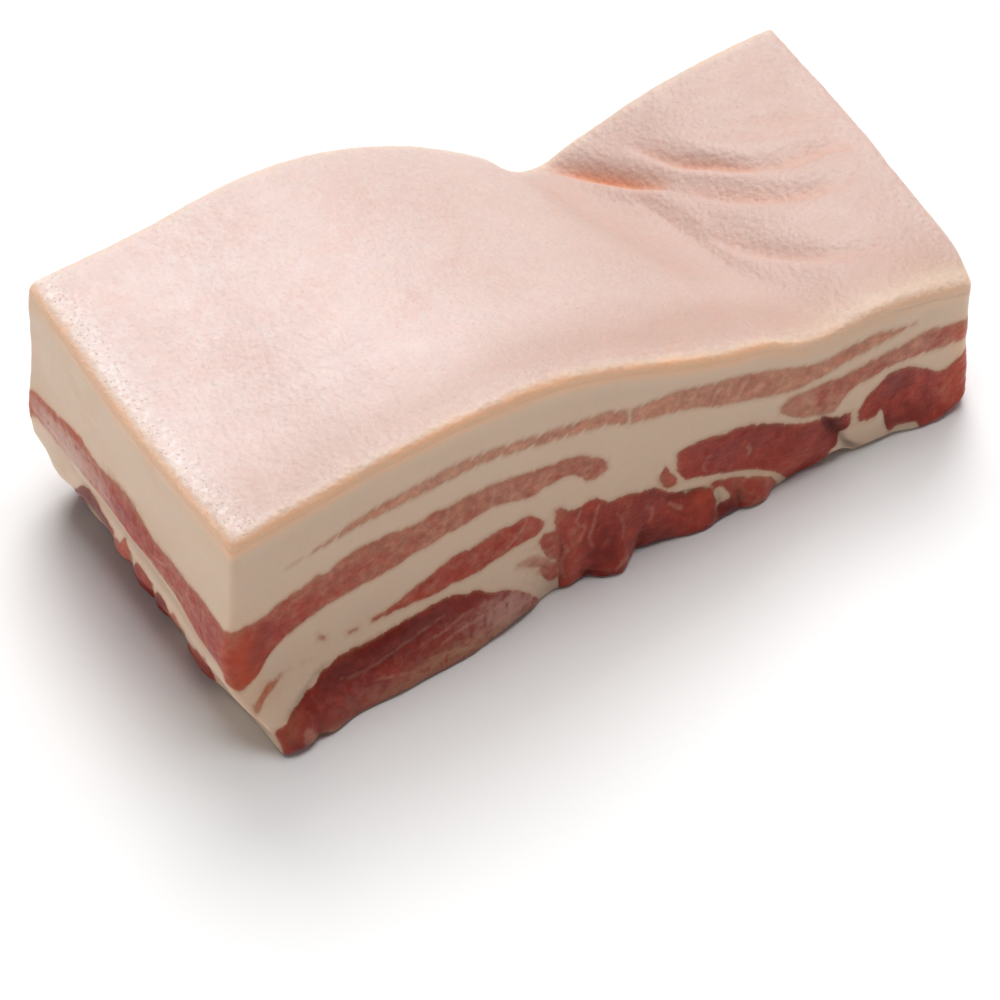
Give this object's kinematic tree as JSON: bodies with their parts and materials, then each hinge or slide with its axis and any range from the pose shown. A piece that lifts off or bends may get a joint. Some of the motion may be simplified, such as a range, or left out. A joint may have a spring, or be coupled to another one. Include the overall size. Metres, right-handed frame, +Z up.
{
  "type": "pork belly slab",
  "caption": "Raw slab of pork belly with the rind on, cut square, thick and humped at one end and bent down to a thinner flap at the other.",
  "frame": {"origin": "under the middle of the slab's box, on the surface that it rests on", "axes": "+X along the length, from the thick end to the thin flap; +Z up, out of the rind; -Y is the long cut face with the slumped lower edge"},
  "size_m": [0.1848, 0.0916, 0.0719],
  "materials": {
    "raw_pork": "raw skin, fat and lean, moist, semi-gloss"
  },
  "bodies": {
    "root": {"pork_belly": "raw_pork"}
  },
  "joints": []
}
